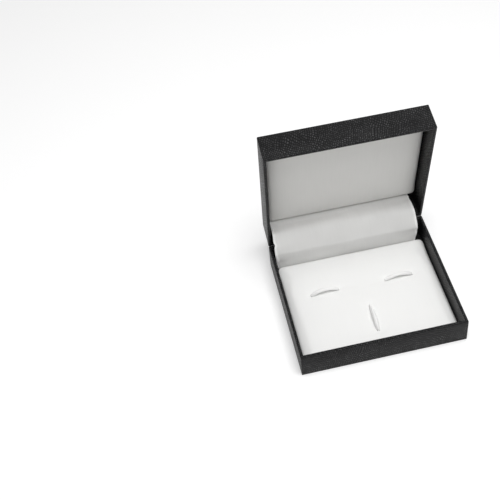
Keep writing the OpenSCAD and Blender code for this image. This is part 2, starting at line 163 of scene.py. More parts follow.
class Paint:
    """One material, built from formulas and nodes."""

    def __init__(self, name, **uniform):
        self.material = bpy.data.materials.new(name)
        self.material.use_nodes = True
        self.tree = self.material.node_tree
        self.tree.nodes.clear()
        self.shader = self.tree.nodes.new("ShaderNodeBsdfPrincipled")
        output = self.tree.nodes.new("ShaderNodeOutputMaterial")
        self.tree.links.new(self.shader.outputs[0], output.inputs[0])
        for socket, value in uniform.items():
            self.shader.inputs[socket.replace("_", " ")].default_value = value

    def add(self, kind, settings=None, values=None, out=0):
        """Adds a node, sets it up, fills or links its sockets, and gives back one output."""
        node = self.tree.nodes.new(kind)
        for name, value in (settings or {}).items():
            if name == "stops":
                self.fill_ramp(node.color_ramp, value)
            else:
                setattr(node, name, value)
        for name, value in (values or {}).items():
            if isinstance(value, Wire):
                self.tree.links.new(value.socket, node.inputs[name])
            else:
                node.inputs[name].default_value = value
        return Wire(self, node.outputs[out])

    def fill_ramp(self, ramp, stops):
        while len(ramp.elements) < len(stops):
            ramp.elements.new(0.5)
        for element, (place, colour) in zip(ramp.elements, stops):
            element.position, element.color = place, (*colour, 1)

    def feed(self, socket, wire):
        self.tree.links.new(wire.socket, self.shader.inputs[socket])

    def place(self, where):
        """Coordinates in millimetres: the piece's own UV map, or its place in the box."""
        raw = self.add("ShaderNodeTexCoord", out=where)
        return self.add("ShaderNodeMapping", {}, {"Vector": raw, "Scale": (1 / MM, 1 / MM, 1 / MM)})

    def noise(self, vector, scale, detail=3):
        return self.add("ShaderNodeTexNoise", {}, {"Vector": vector, "Scale": scale, "Detail": detail},
                        out="Fac")

    def ramp(self, wire, *stops):
        grey = [(place, (shade,) * 3) for place, shade in stops]
        return self.add("ShaderNodeValToRGB", {"stops": grey}, {"Fac": wire}, out="Color")

    def mix(self, factor, first, second):
        """Blends two colours, either of which may be a wire."""
        colours = [c if isinstance(c, Wire) else (*c, 1) for c in (first, second)]
        return self.add("ShaderNodeMix", {"data_type": "RGBA"},
                        {"Factor": factor, 6: colours[0], 7: colours[1]}, out=2)

    def emboss(self, height, depth, strength=1.0):
        """Turns a height from 0 to 1 into relief that is depth metres deep."""
        bump = self.add("ShaderNodeBump", {}, {"Height": height, "Distance": depth, "Strength": strength})
        self.feed("Normal", bump)


# %% [markdown]
# ## The grained covering
# The outside is paper or cloth with a black coating, embossed to look like lizard skin:
# small domed scales about 1.2 mm apart, in rows that wander like wood grain. A Voronoi
# pattern gives the cells. Its coordinates are bent first by a slow noise, so the rows
# swirl. The pattern follows the UV map, which is in metres on every face, so the scales
# keep one size on wide panels and narrow rims alike. The tips of the scales are painted
# lighter in the base colour, as a painted highlight, and are made glossier as well.

# %% Black grained covering
def grained_covering():
    paint = Paint("black_grained_covering", Specular_IOR_Level=0.36,
                  Specular_Tint=(0.3, 0.3, 0.3, 1), Coat_Roughness=0.28)
    flat = paint.place("UV")
    swirl = paint.add("ShaderNodeTexNoise", {}, {"Vector": flat, "Scale": 0.055, "Detail": 1.5}, out="Color")
    push = paint.add("ShaderNodeVectorMath", {"operation": "MULTIPLY_ADD"},
                     {0: swirl, 1: (9, 9, 0), 2: flat})
    rows = paint.add("ShaderNodeMapping", {}, {"Vector": push, "Rotation": (0, 0, math.radians(28)),
                                               "Scale": (1.0, 0.72, 1)})
    cells = {"Vector": rows, "Scale": 1.0, "Randomness": 0.5}
    seam = paint.add("ShaderNodeTexVoronoi", {"feature": "DISTANCE_TO_EDGE", "voronoi_dimensions": "2D"},
                     cells, out="Distance")
    lot = paint.add("ShaderNodeTexVoronoi", {"voronoi_dimensions": "2D"}, cells, out="Color")
    lot = paint.add("ShaderNodeSeparateColor", {}, {"Color": lot})
    scales = paint.add("ShaderNodeMapRange", {"interpolation_type": "SMOOTHSTEP"},
                       {"Value": seam, "From Max": 0.34}, out="Result")
    tips = paint.add("ShaderNodeMapRange", {"interpolation_type": "SMOOTHSTEP"},
                     {"Value": seam, "From Min": 0.1, "From Max": 0.42}, out="Result")
    pores = paint.noise(flat, 3.5, 2)
    patches = paint.noise(flat, 0.12, 2)
    # The scale tips are lighter in the base colour as a painted highlight; the same mask also makes them
    # glossier.
    tip_gloss_and_painted_glint = (tips * (0.3 + lot * 0.7) * (patches * 2.1 - 0.2).clamped()).clamped()
    paint.feed("Base Color", paint.mix(tip_gloss_and_painted_glint, (0.002, 0.002, 0.0023), (0.062, 0.062, 0.064)))
    paint.feed("Roughness", 0.44 - tip_gloss_and_painted_glint * 0.14 - patches * 0.05)
    paint.feed("Coat Weight", tip_gloss_and_painted_glint * 0.3)
    paint.emboss(scales * 0.8 + pores * 0.2, 0.09 * MM, 1.0)
    return paint.material


COVERING_FINISH = grained_covering()


# %% [markdown]
# ## Helpers for working in edit mode
# An operator acts on whatever is selected, so each step starts from nothing selected and
# then picks faces, edges or points in code, by where they are or which way they face.

# %% Edit-mode helpers
def only(piece):
    """Makes a piece the only selected and active one."""
    if bpy.context.mode != "OBJECT":
        bpy.ops.object.mode_set(mode="OBJECT")
    bpy.ops.object.select_all(action="DESELECT")
    bpy.context.view_layer.objects.active = piece
    piece.select_set(True)


def edit(piece):
    only(piece)
    bpy.ops.object.mode_set(mode="EDIT")
    bpy.ops.mesh.select_all(action="DESELECT")


def pick(piece, kind, test):
    """Selects the points, edges or faces that pass a test, and says how many there are."""
    bpy.ops.mesh.select_all(action="DESELECT")
    bpy.ops.mesh.select_mode(type=kind)
    mesh = bmesh.from_edit_mesh(piece.data)
    mesh.normal_update()
    parts = {"VERT": mesh.verts, "EDGE": mesh.edges, "FACE": mesh.faces}[kind]
    found = [part for part in parts if test(part)]
    for part in found:
        part.select_set(True)
    mesh.select_flush_mode()
    bmesh.update_edit_mesh(piece.data)
    return len(found)


def done():
    bpy.ops.object.mode_set(mode="OBJECT")


def sweep(steps, angle, centre, axis):
    """Spins what is selected. The operator counts its angle the other way round."""
    bpy.ops.mesh.spin(steps=steps, angle=-angle, center=centre, axis=axis)


def set_down(piece):
    """Puts the piece's place into its mesh, so that its object sits at the origin."""
    only(piece)
    bpy.ops.object.transform_apply(location=True, rotation=True, scale=True)


def finish_with(piece, kind, **settings):
    """Adds a modifier and applies it at once."""
    only(piece)
    modifier = piece.modifiers.new(kind.lower(), kind)
    for name, value in settings.items():
        setattr(modifier, name, value)
    bpy.ops.object.modifier_apply(modifier=modifier.name)


def block(name, low, high):
    """A box between two corners."""
    low, high = Vector(low), Vector(high)
    bpy.ops.object.select_all(action="DESELECT")
    bpy.ops.mesh.primitive_cube_add(size=1, location=(low + high) / 2)
    piece = bpy.context.object
    piece.name = piece.data.name = name
    piece.scale = high - low
    set_down(piece)
    return piece


def is_fold(edge):
    """Whether an edge joins two faces at more than 60 degrees."""
    return len(edge.link_faces) == 2 and edge.calc_face_angle(0) > math.radians(60)


def round_folds(piece, size, segments):
    edit(piece)
    pick(piece, "EDGE", is_fold)
    bpy.ops.mesh.bevel(offset=size, segments=segments, affect="EDGES")
    done()


def carve(piece, cutters):
    """Cuts shapes out of a piece, then removes the cutters."""
    for cutter in cutters:
        finish_with(piece, "BOOLEAN", operation="DIFFERENCE", solver="EXACT", object=cutter)
    for cutter in cutters:
        bpy.data.objects.remove(cutter)


def uv_map(piece):
    """A piece's UV map, which is made if it has none."""
    layers = piece.data.uv_layers
    return layers[0] if layers else layers.new(name="UVMap")


def unwrap_flat(piece):
    """Lays each face flat along its nearest axis, in metres."""
    layer = uv_map(piece)
    for face in piece.data.polygons:
        axis = max(range(3), key=lambda k: abs(face.normal[k]))
        across, up = ((1, 2), (0, 2), (0, 1))[axis]
        for corner in face.loop_indices:
            point = piece.data.vertices[piece.data.loops[corner].vertex_index].co
            layer.data[corner].uv = (point[across] + 0.31 * axis, point[up] + 0.17 * axis)


def smooth(piece, degrees=35):
    only(piece)
    bpy.ops.object.shade_smooth_by_angle(angle=math.radians(degrees))


def dress(piece, material, body, replaces):
    """Gives a finished piece its material, its body and the nodes it stands for."""
    piece.data.materials.clear()
    piece.data.materials.append(material)
    if body:
        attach(piece, body)
    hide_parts(*replaces)
    print(piece.name, len(piece.data.polygons), "faces")


# %% [markdown]
# ## The coverings
# On the real box one sheet is glued round the tray, folded over the rim and down the
# inside, and turned in underneath. So the model is a thin skin too. A cube is hollowed by
# inset and extrude, the faces that the sheet leaves bare are deleted, and Solidify gives
# the sheet its thickness inwards. Each fold is rounded with a small bevel, but for the
# outer edge of the rear rim, beside the hinges. The rear rim is raised a little, which
# narrows the gap there. Hinge notches are cut from it, and a fine groove marks each
# mitred fold.

# %% Cutters for the covering
HINGE_X = 24 * MM
NOTCH_HALF = 8.1 * MM
NOTCH_DEPTH = 1.05 * MM
FOLD = 0.42 * MM
REAR_RISE = 0.4 * RIM_GAP
GROOVE = 0.09 * MM


def notch_cutters(height):
    """Two blocks that clear the hinges out of the rear rim."""
    reach = 0.5 * MM
    return [block("notch", (s * HINGE_X - NOTCH_HALF, DEPTH / 2 - WALL - reach, height - NOTCH_DEPTH),
                  (s * HINGE_X + NOTCH_HALF, DEPTH / 2 + reach, height + reach)) for s in (-1, 1)]


def mitre_cutters(z, run):
    """Thin square bars that lie along the mitres at the four corners."""
    bars = []
    for sx in (-1, 1):
        for sy in (-1, 1):
            half = 0.75 * run
            bar = block("mitre", (-half, -GROOVE / 2, -GROOVE / 2), (half, GROOVE / 2, GROOVE / 2))
            bar.rotation_euler = (math.radians(45), 0, 0)
            set_down(bar)
            bar.rotation_euler = (0, 0, sx * sy * math.radians(45))
            bar.location = (sx * (WIDTH / 2 - run / 2), sy * (DEPTH / 2 - run / 2), z)
            set_down(bar)
            bars.append(bar)
    return bars


# %% Hollow, fold and thicken a covering
def make_covering(name, height, turn_in):
    skin = block(name, (-WIDTH / 2, -DEPTH / 2, 0), (WIDTH / 2, DEPTH / 2, height))
    edit(skin)
    pick(skin, "FACE", lambda f: f.normal.z > 0.9)
    bpy.ops.mesh.inset(thickness=WALL)
    bpy.ops.mesh.extrude_region_move(TRANSFORM_OT_translate={"value": (0, 0, FLOOR - height)})
    bpy.ops.mesh.delete(type="FACE")
    if turn_in:
        pick(skin, "FACE", lambda f: f.normal.z < -0.9)
        bpy.ops.mesh.inset(thickness=turn_in)
        bpy.ops.mesh.delete(type="FACE")

    def at_hinge(edge):
        return all(abs(v.co.z - height) < 0.01 * MM and v.co.y > DEPTH / 2 - 0.1 * MM for v in edge.verts)

    pick(skin, "EDGE", lambda e: is_fold(e) and not at_hinge(e))
    bpy.ops.mesh.bevel(offset=FOLD, segments=3, affect="EDGES")
    pick(skin, "VERT", lambda v: abs(v.co.z - height) < 0.01 * MM and v.co.y > DEPTH / 2 - WALL)
    bpy.ops.transform.translate(value=(0, 0, REAR_RISE))
    done()
    finish_with(skin, "SOLIDIFY", thickness=COVERING, offset=-1, use_even_offset=True)
    bars = mitre_cutters(height, WALL)
    if turn_in:
        bars += mitre_cutters(0, turn_in)
    carve(skin, notch_cutters(height) + bars)
    unwrap_flat(skin)
    return skin


# %% Cover the base and the lid
base_covering = make_covering("base_covering", BASE_HEIGHT, TURN_IN)
smooth(base_covering)
dress(base_covering, COVERING_FINISH, "base", ["base_wrap"])

lid_covering = make_covering("lid_covering", LID_HEIGHT, 0)
lid_covering.data.transform(LID_PLACE)
smooth(lid_covering)
dress(lid_covering, COVERING_FINISH, "lid", ["lid_wrap"])

# %% [markdown]
# ## White satin
# The pads, loops and flap are faced with white satin. It has five threads to the
# millimetre one way and seven the other, and it catches the light in soft streaks. The
# weave is far too fine to see in the whole picture, so it stays a faint relief. The tone
# drifts slowly. Whether the real facing is cloth or a smooth coating can't be seen. The lid
# pad and the flap get a darker copy of the satin, as painted shade, and the flap's ends are
# painted lighter, as a painted highlight where the turned satin catches the light.

# %% White satin
WARP_PER_MM, WEFT_PER_MM = 5, 7


def white_satin(name, tone, streak, cloud=0.05, hem=False):
    paint = Paint(name, Sheen_Weight=0.12, Sheen_Roughness=0.4, Specular_IOR_Level=0.35)
    flat = paint.place("UV")
    along = paint.add("ShaderNodeMapping", {}, {"Vector": flat, "Scale": (1, 0.06, 1)})
    streaks = paint.noise(along, 0.9, 3)
    clouds = paint.noise(flat, 0.05, 2)
    parts = paint.add("ShaderNodeSeparateXYZ", {}, {"Vector": flat})
    rise = paint.add("ShaderNodeSeparateXYZ", {}, {"Vector": flat}, out=1)
    warp = (parts * (2 * math.pi * WARP_PER_MM)).sine()
    weft = (rise * (2 * math.pi * WEFT_PER_MM)).sine()
    threads = 0.5 + warp * 0.2 + weft * 0.3
    shade = (streaks - 0.5) * streak + (clouds - 0.5) * cloud
    light = tuple(min(1.0, t * 1.03) for t in tone)
    dark = tuple(t * 0.93 for t in tone)
    colour = paint.mix((shade * 4 + 0.6).clamped(), dark, light)
    # Near its ends the flap is painted lighter, as a painted highlight where the turned satin catches the
    # light.
    if hem:
        painted_highlight = paint.add("ShaderNodeAttribute", {"attribute_name": "hem"}, out="Fac")
        colour = paint.mix(painted_highlight, colour, (0.95, 0.95, 0.94))
    paint.feed("Base Color", colour)
    paint.feed("Roughness", 0.46 + threads * 0.08 - shade * 0.3)
    paint.emboss(threads, 0.012 * MM, 0.35)
    return paint.material


PAD_SATIN = white_satin("white_pad_satin", (0.89, 0.89, 0.88), 0.05)
# The lid pad's and the flap's copies are darker than the base pad's: painted shade for faces that get less
# light.
SHADED_LID_SATIN = white_satin("white_lid_satin_painted_shade", (0.79, 0.785, 0.762), 0.12)
SHADED_FLAP_SATIN = white_satin("white_flap_satin_painted_shade", (0.785, 0.783, 0.77), 0.12, cloud=0.45, hem=True)
STRAP_SATIN = white_satin("white_strap_satin", (0.90, 0.90, 0.89), 0.03)

# %% [markdown]
# ## Pads
# Each pad is a card with a sheet of foam on it and satin drawn tight over both. The satin
# is what shows, so its shape comes from a small simulation. A block with rounded corners
# is remeshed, given a rolled edge, blown up a little by cloth pressure while its underside
# is held down, and pulled in where a strap passes through. Real cloth sizes suit the solver
# better than a box of a few centimetres, so the pad is simulated at ten times its size.

# %% Sizes of the pads
PAD_GAP = 0.3 * MM
PAD_HALF_X = WIDTH / 2 - WALL - PAD_GAP
PAD_FRONT = -DEPTH / 2 + WALL + PAD_GAP
BASE_PAD_REAR = 31.6 * MM
LID_PAD_REAR = 30.9 * MM
REAR_TIGHT = 4.5
PAD_THICK = 4.9 * MM
CARD_TOP = 1.45 * MM
COVER_THICK = 0.45 * MM
COVER_TURN = 6 * MM

LOOP_X = 21 * MM
LOOP_Y = 5.9 * MM
LOOP_HALF = 8.1 * MM
LOOP_TURN = math.radians(2.3)
TIE_Y = -18.3 * MM
TIE_HALF = 8.8 * MM
STRAP_THICK = 0.6 * MM
loop_end = LOOP_HALF - STRAP_THICK / 2
SLIT_HALF = 0.36 * MM
LOOP_SLIT, TIE_SLIT_FRONT, TIE_SLIT_REAR = 0.85 * MM, 0.7 * MM, 0.6 * MM
SLIT_TOP = 12 * MM
slit_places = [(s * LOOP_X + k * loop_end * math.cos(LOOP_TURN),
                LOOP_Y + k * loop_end * math.sin(LOOP_TURN), SLIT_HALF, LOOP_SLIT)
               for s in (-1, 1) for k in (-1, 1)]
slit_places += [(0, TIE_Y - TIE_HALF + STRAP_THICK / 2, TIE_SLIT_FRONT, SLIT_HALF),
                (0, TIE_Y + TIE_HALF - STRAP_THICK / 2, TIE_SLIT_REAR, SLIT_HALF)]
dents = [(x, y, 1.0) for x, y, _, _ in slit_places]
dents += [(0, TIE_Y + k * MM, 0.42) for k in range(-7, 8, 2)]


# %% Shape of a pad's upper face
def points_of(piece):
    """A piece's points as rows of numbers."""
    flat = np.empty(len(piece.data.vertices) * 3)
    piece.data.vertices.foreach_get("co", flat)
    return flat.reshape(-1, 3)


def move_points(piece, points):
    piece.data.vertices.foreach_set("co", np.asarray(points, np.float32).ravel())
    piece.data.update()


def edge_distance(points, half_x, half_y, radius):
    """How far each point lies inside a rectangle with rounded corners."""
    qx = np.abs(points[:, 0]) - (half_x - radius)
    qy = np.abs(points[:, 1]) - (half_y - radius)
    outside = np.hypot(np.maximum(qx, 0), np.maximum(qy, 0))
    return radius - outside - np.minimum(np.maximum(qx, qy), 0)


def pad_ceiling(points, half_x, half_y, radius, thick, crown, roll, sides):
    """Height of the crowned pad with its rolled edge, which is tighter beside the flap."""
    plan = points[:, :2].copy()
    rear = plan[:, 1] > 0
    plan[rear, 1] = np.maximum(half_y - (half_y - plan[rear, 1]) * REAR_TIGHT, 0)
    inside = edge_distance(plan, half_x, half_y, radius)
    u = np.clip(1 - inside / roll, 0, 1)
    steep = np.clip((points[:, 1] / half_y - 0.7) / 0.2, 0, 1)
    side = thick * (sides + (0.72 - sides) * steep)
    dome = crown * (1 - (points[:, 0] / half_x) ** 2) * (1 - (points[:, 1] / half_y) ** 2)
    return side + (thick - side) * np.sqrt(1 - u ** 2) + np.maximum(dome, 0)


def dent_depth(points, dents, depth, spread):
    """How far the straps pull the pad down at each point."""
    pull = np.zeros(len(points))
    for x, y, share in dents:
        away = np.hypot(points[:, 0] - x, points[:, 1] - y)
        pull = np.maximum(pull, share * depth * np.exp(-(away / spread) ** 2))
    return pull


# %% Cloth pass
CLOTH_SCALE = 10
CLOTH_FRAMES = 18
CLOTH_MOST = 0.28 * MM


def swell(piece, held):
    """Blows the pad up a little with cloth pressure, holding some of its points still."""
    before = points_of(piece)
    move_points(piece, before * CLOTH_SCALE)
    group = piece.vertex_groups.new(name="held")
    group.add([int(i) for i in np.nonzero(held)[0]], 1.0, "REPLACE")
    only(piece)
    cloth = piece.modifiers.new("cloth", "CLOTH")
    cloth.settings.quality = 6
    cloth.settings.use_pressure = True
    cloth.settings.uniform_pressure_force = 4
    cloth.settings.vertex_group_mass = "held"
    cloth.settings.tension_stiffness = 18
    cloth.settings.compression_stiffness = 18
    cloth.settings.effector_weights.gravity = 0
    cloth.point_cache.frame_start, cloth.point_cache.frame_end = 1, CLOTH_FRAMES
    scene = bpy.context.scene
    for step in range(1, CLOTH_FRAMES + 1):
        scene.frame_set(step)
    bpy.ops.object.modifier_apply(modifier="cloth")
    scene.frame_set(1)
    piece.vertex_groups.clear()
    moved = points_of(piece) / CLOTH_SCALE - before
    length = np.linalg.norm(moved, axis=1)
    print(piece.name, "swells by up to", round(length.max() / MM, 2), "mm before the cap")
    move_points(piece, before + moved * np.minimum(1, CLOTH_MOST / np.maximum(length, 1e-9))[:, None])


# %% [markdown]
# The pad is made about its own middle and moved afterwards. The remesh gives even quads,
# which the cloth needs. The satin's edge is drawn round the card and glued underneath, so
# the middle of the underside is opened and Solidify turns the form into real satin. The
# foam is a copy that is shrunk to fit inside and cut off level with the card.

# %% Make a pad
def make_pad(name, rear, radius, crown, roll, sides, dents):
    half_y = (rear - PAD_FRONT) / 2
    middle = (rear + PAD_FRONT) / 2
    local = [(x, y - middle, share) for x, y, share in dents]
    start = 0.12 * MM
    half_x, deep = PAD_HALF_X - start, half_y - start
    pad = block(name, (-half_x, -deep, 0), (half_x, deep, PAD_THICK + crown))
    edit(pad)
    pick(pad, "EDGE", lambda e: abs((e.verts[0].co - e.verts[1].co).z) > MM)
    bpy.ops.mesh.bevel(offset=radius, segments=8, affect="EDGES")
    pick(pad, "EDGE", lambda e: max(v.co.z for v in e.verts) < 0.01 * MM)
    bpy.ops.mesh.bevel(offset=0.4 * MM, segments=2, affect="EDGES")
    done()
    for _ in range(2):
        only(pad)
        pad.data.remesh_voxel_size = 1.2 * MM
        bpy.ops.object.voxel_remesh()
        points = points_of(pad)
        ceiling = pad_ceiling(points, half_x, deep, radius, PAD_THICK - start, crown * 0.7, roll, sides)
        points[:, 2] = np.minimum(points[:, 2], ceiling - dent_depth(points, local, 0.6 * MM, 2.0 * MM))
        move_points(pad, points)
    points = points_of(pad)
    held = points[:, 2] < CARD_TOP
    held |= dent_depth(points, local, 1, 1.1 * MM) > 0.3
    swell(pad, held)
    finish_with(pad, "SMOOTH", factor=0.5, iterations=3)
    finish_with(pad, "SUBSURF", levels=1, render_levels=1)
    points = points_of(pad)
    low = points[:, 2] < CARD_TOP
    limit = np.array([PAD_HALF_X, half_y])
    points[:, :2] = np.clip(points[:, :2], -limit, limit)
    points[:, 2] = np.clip(points[:, 2], 0, PAD_THICK + crown)
    points[low & (points[:, 2] < 0.08 * MM), 2] = 0
    move_points(pad, points)
    return pad, middle, half_y


def foam_inside(pad, name):
    """The foam under the satin: a smaller copy, cut level with the top of the card."""
    foam = pad.copy()
    foam.data = pad.data.copy()
    foam.name = foam.data.name = name
    bpy.context.scene.collection.objects.link(foam)
    edit(foam)
    bpy.ops.mesh.select_all(action="SELECT")
    bpy.ops.transform.shrink_fatten(value=-(COVER_THICK + 0.06 * MM))
    bpy.ops.mesh.bisect(plane_co=(0, 0, CARD_TOP + 0.05 * MM), plane_no=(0, 0, 1),
                        use_fill=True, clear_inner=True)
    done()
    return foam


def open_and_thicken(pad, half_y):
    """Leaves the satin open under the card, and gives it its thickness."""
    edit(pad)
    pick(pad, "FACE", lambda f: f.normal.z < -0.9
         and abs(f.calc_center_median().x) < PAD_HALF_X - COVER_TURN
         and abs(f.calc_center_median().y) < half_y - COVER_TURN)
    bpy.ops.mesh.delete(type="FACE")
    done()
    finish_with(pad, "SOLIDIFY", thickness=COVER_THICK, offset=-1, use_even_offset=False)


def unwrap_plan(piece):
    """Lays the satin's threads straight across the plan of the pad, in metres."""
    layer = uv_map(piece)
    for loop in piece.data.loops:
        point = piece.data.vertices[loop.vertex_index].co
        layer.data[loop.index].uv = (point.x, point.y + 0.6 * point.z)


# %% Base pad
base_pad, base_middle, base_half_y = make_pad("base_pad_satin", BASE_PAD_REAR, radius=2.6 * MM,
                                              crown=0.8 * MM, roll=6.5 * MM, sides=0.34, dents=dents)
base_foam = foam_inside(base_pad, "base_pad_filling")
open_and_thicken(base_pad, base_half_y)
for piece in (base_pad, base_foam):
    piece.data.transform(Matrix.Translation((0, base_middle, FLOOR)))
for piece, bottom in ((base_pad, CARD_TOP + FLOOR + 0.2 * MM), (base_foam, FLOOR)):
    carve(piece, [block("slit", (x - a, y - b, bottom), (x + a, y + b, SLIT_TOP))
                  for x, y, a, b in slit_places])
for piece in (base_pad, base_foam):
    unwrap_plan(piece)
    smooth(piece, 60)

# %% Lid pad
lid_pad, lid_middle, lid_half_y = make_pad("lid_pad_satin", LID_PAD_REAR, radius=2.2 * MM,
                                           crown=0.6 * MM, roll=3.6 * MM, sides=0.5, dents=[])
lid_foam = foam_inside(lid_pad, "lid_pad_filling")
open_and_thicken(lid_pad, lid_half_y)
for piece in (lid_pad, lid_foam):
    piece.data.transform(Matrix.Translation((0, lid_middle, FLOOR)))
    unwrap_plan(piece)
    piece.data.transform(LID_PLACE)
    smooth(piece, 60)

# %% [markdown]
# ## Foam
# The filling is a soft off-white foam. It hardly shows, but its cut faces have small open
# cells, which a Voronoi pattern gives.

# %% Foam finish
def open_foam():
    paint = Paint("open_foam", Roughness=0.95, Specular_IOR_Level=0.2)
    place = paint.place("Object")
    cells = paint.add("ShaderNodeTexVoronoi", {"feature": "SMOOTH_F1"}, {"Vector": place, "Scale": 1.6,
                                                                        "Smoothness": 0.3}, out="Distance")
    tone = paint.noise(place, 0.3, 3)
    mottle = (cells * 0.8 + tone * 0.3).clamped()
    paint.feed("Base Color", paint.mix(mottle, (0.55, 0.53, 0.44), (0.80, 0.78, 0.68)))
    paint.emboss(cells, 0.15 * MM, 0.8)
    return paint.material


FOAM = open_foam()
dress(base_pad, PAD_SATIN, "base", ["base_pad_cover"])
dress(lid_pad, SHADED_LID_SATIN, "lid", ["lid_pad_cover"])
dress(base_foam, FOAM, "base", ["base_pad_foam"])
dress(lid_foam, FOAM, "lid", ["lid_pad_foam"])

# %% [markdown]
# ## Loops
# Two straps hold the cufflinks and a third holds a tie clip. Each is a narrow band of the
# same satin, folded to a soft round edge. It comes up out of one slit, arches over, and
# goes down the other. A flattened circle is swept by spin along the arch, then round each
# end and straight down into the slit.

# %% Sweep a strap
STRAP_LEG, LEG_STEPS = 2.6 * MM, 3


def make_strap(name, half, rise, width, thick, top, bend):
    """A strap along X, whose arch ends in two tight bends and two legs."""
    reach = half - STRAP_THICK / 2 - bend
    high = rise - thick / 2
    slope = 2 * math.atan2(high - 0.1 * MM, reach + bend)
    radius = (reach + bend * (1 - math.sin(slope))) / math.sin(slope)
    centre = Vector((0, 0, top + high - radius))
    tip = centre + radius * Vector((math.sin(slope), 0, math.cos(slope)))
    bpy.ops.object.select_all(action="DESELECT")
    bpy.ops.mesh.primitive_circle_add(vertices=24, radius=0.5, fill_type="NGON",
                                      location=(centre.x, 0, centre.z + radius), rotation=(0, math.pi / 2, 0))
    strap = bpy.context.object
    strap.name = strap.data.name = name
    strap.scale = (thick, width, 1)
    set_down(strap)
    edit(strap)
    bpy.ops.mesh.select_all(action="SELECT")
    sweep(14, slope, centre, (0, 1, 0))
    turn_about = tip - bend * Vector((math.sin(slope), 0, math.cos(slope)))
    sweep(7, math.pi / 2 - slope, turn_about, (0, 1, 0))
    for _ in range(LEG_STEPS):
        bpy.ops.mesh.extrude_region_move(TRANSFORM_OT_translate={"value": (0, 0, -STRAP_LEG / LEG_STEPS)})
    pick(strap, "FACE", lambda f: all(abs(v.co.x) < 0.01 * MM for v in f.verts))
    bpy.ops.mesh.delete(type="FACE")
    done()
    finish_with(strap, "MIRROR", use_axis=(True, False, False), use_clip=True, merge_threshold=0.01 * MM)
    edit(strap)
    bpy.ops.mesh.select_all(action="SELECT")
    bpy.ops.mesh.remove_doubles(threshold=0.005 * MM)
    bpy.ops.mesh.normals_make_consistent(inside=False)
    done()
    return strap


def draw_in(strap, half, top, widths, curl):
    """Narrows a strap along its length and curls its long edges down."""
    points = points_of(strap)
    along = np.interp(points[:, 0] / half, *zip(*widths))
    edge = np.abs(points[:, 1]) / max(np.abs(points[:, 1]).max(), 1e-9)
    above = np.clip((points[:, 2] - top) / (0.6 * MM), 0, 1)
    points[:, 1] *= along
    points[:, 2] -= curl * edge ** 2 * above
    move_points(strap, points)


def unwrap_strap(strap):
    layer = uv_map(strap)
    for loop in strap.data.loops:
        point = strap.data.vertices[loop.vertex_index].co
        layer.data[loop.index].uv = (point.y + 0.5 * point.x, point.x + point.z)


# %% Place the loops
PAD_TOP = FLOOR + PAD_THICK + 0.45 * MM
STRAP_WIDTH = 2.4 * MM
LOOP_RISE, LOOP_THICK, LOOP_BEND = 3.1 * MM, 1.1 * MM, 0.9 * MM
TIE_RISE, TIE_THICK, TIE_BEND = 3.4 * MM, 1.7 * MM, 1.3 * MM
LOOP_WIDTHS = [(-1, 0.5), (-0.93, 0.62), (-0.82, 0.86), (-0.6, 1), (0.6, 1), (0.82, 0.86),
               (0.93, 0.62), (1, 0.5)]
TIE_WIDTHS = [(-1, 0.3), (-0.96, 0.42), (-0.9, 0.66), (-0.8, 0.88), (-0.6, 1), (-0.2, 0.97),
              (0.3, 0.8), (0.8, 0.55), (1, 0.3)]
for side, word in ((-1, "left"), (1, "right")):
    loop = make_strap("cufflink_strap_" + word, LOOP_HALF, LOOP_RISE, STRAP_WIDTH, LOOP_THICK,
                      PAD_TOP, LOOP_BEND)
    draw_in(loop, LOOP_HALF, PAD_TOP, LOOP_WIDTHS, 0.4 * MM)
    unwrap_strap(loop)
    loop.data.transform(Matrix.Translation((side * LOOP_X, LOOP_Y, 0)) @ Matrix.Rotation(LOOP_TURN, 4, "Z"))
    smooth(loop, 60)
    dress(loop, STRAP_SATIN, "base", ["cufflink_loop_" + word])

tie_strap = make_strap("tie_clip_strap", TIE_HALF, TIE_RISE, STRAP_WIDTH, TIE_THICK, PAD_TOP, TIE_BEND)
draw_in(tie_strap, TIE_HALF, PAD_TOP, TIE_WIDTHS, 0.5 * MM)
unwrap_strap(tie_strap)
tie_strap.data.transform(Matrix.Translation((0, TIE_Y, 0)) @ Matrix.Rotation(math.pi / 2, 4, "Z"))
smooth(tie_strap, 60)
dress(tie_strap, STRAP_SATIN, "base", ["tie_clip_loop"])

# %% [markdown]
# ## The hinge flap
# A strip of thin card, faced with satin, runs from the base up in front of the hinges and
# over into the lid. It bends when the lid shuts. A line of points is extruded up from the
# tray floor, spun round the bend and extruded on into the lid, which gives the sheet. Its
# ends bow out.

# %% Sizes of the flap
FLAP_BASE_OFF = 7.8 * MM
FLAP_LID_OFF = 10.4 * MM
FLAP_BEND = 13 * MM
FLAP_CARD = 0.5 * MM
FLAP_COVER = 0.3 * MM
FLAP_HALF = 39.8 * MM
FLAP_SHIFT = -1.6 * MM
FLAP_BOW = 1.3 * MM
meet = (FLAP_LID_OFF - FLAP_BASE_OFF * math.cos(OPEN)) / math.sin(OPEN)
tangent = FLAP_BEND * math.tan(OPEN / 2)
BEND_LOW = Vector((0, HINGE.y - FLAP_BASE_OFF, HINGE.z + meet - tangent))
BEND_CENTRE = BEND_LOW + Vector((0, FLAP_BEND, 0))
LID_UP = Vector((0, math.sin(OPEN), math.cos(OPEN)))
BEND_HIGH = BEND_CENTRE + FLAP_BEND * Vector((0, -math.cos(OPEN), math.sin(OPEN)))
lid_start = meet * math.cos(OPEN) - FLAP_BASE_OFF * math.sin(OPEN) + tangent
FLAP_FOOT = FLOOR + 0.2 * MM
LID_RUN = LID_HEIGHT - FLOOR - FLAP_COVER - 0.2 * MM + RIM_GAP / 2 - lid_start


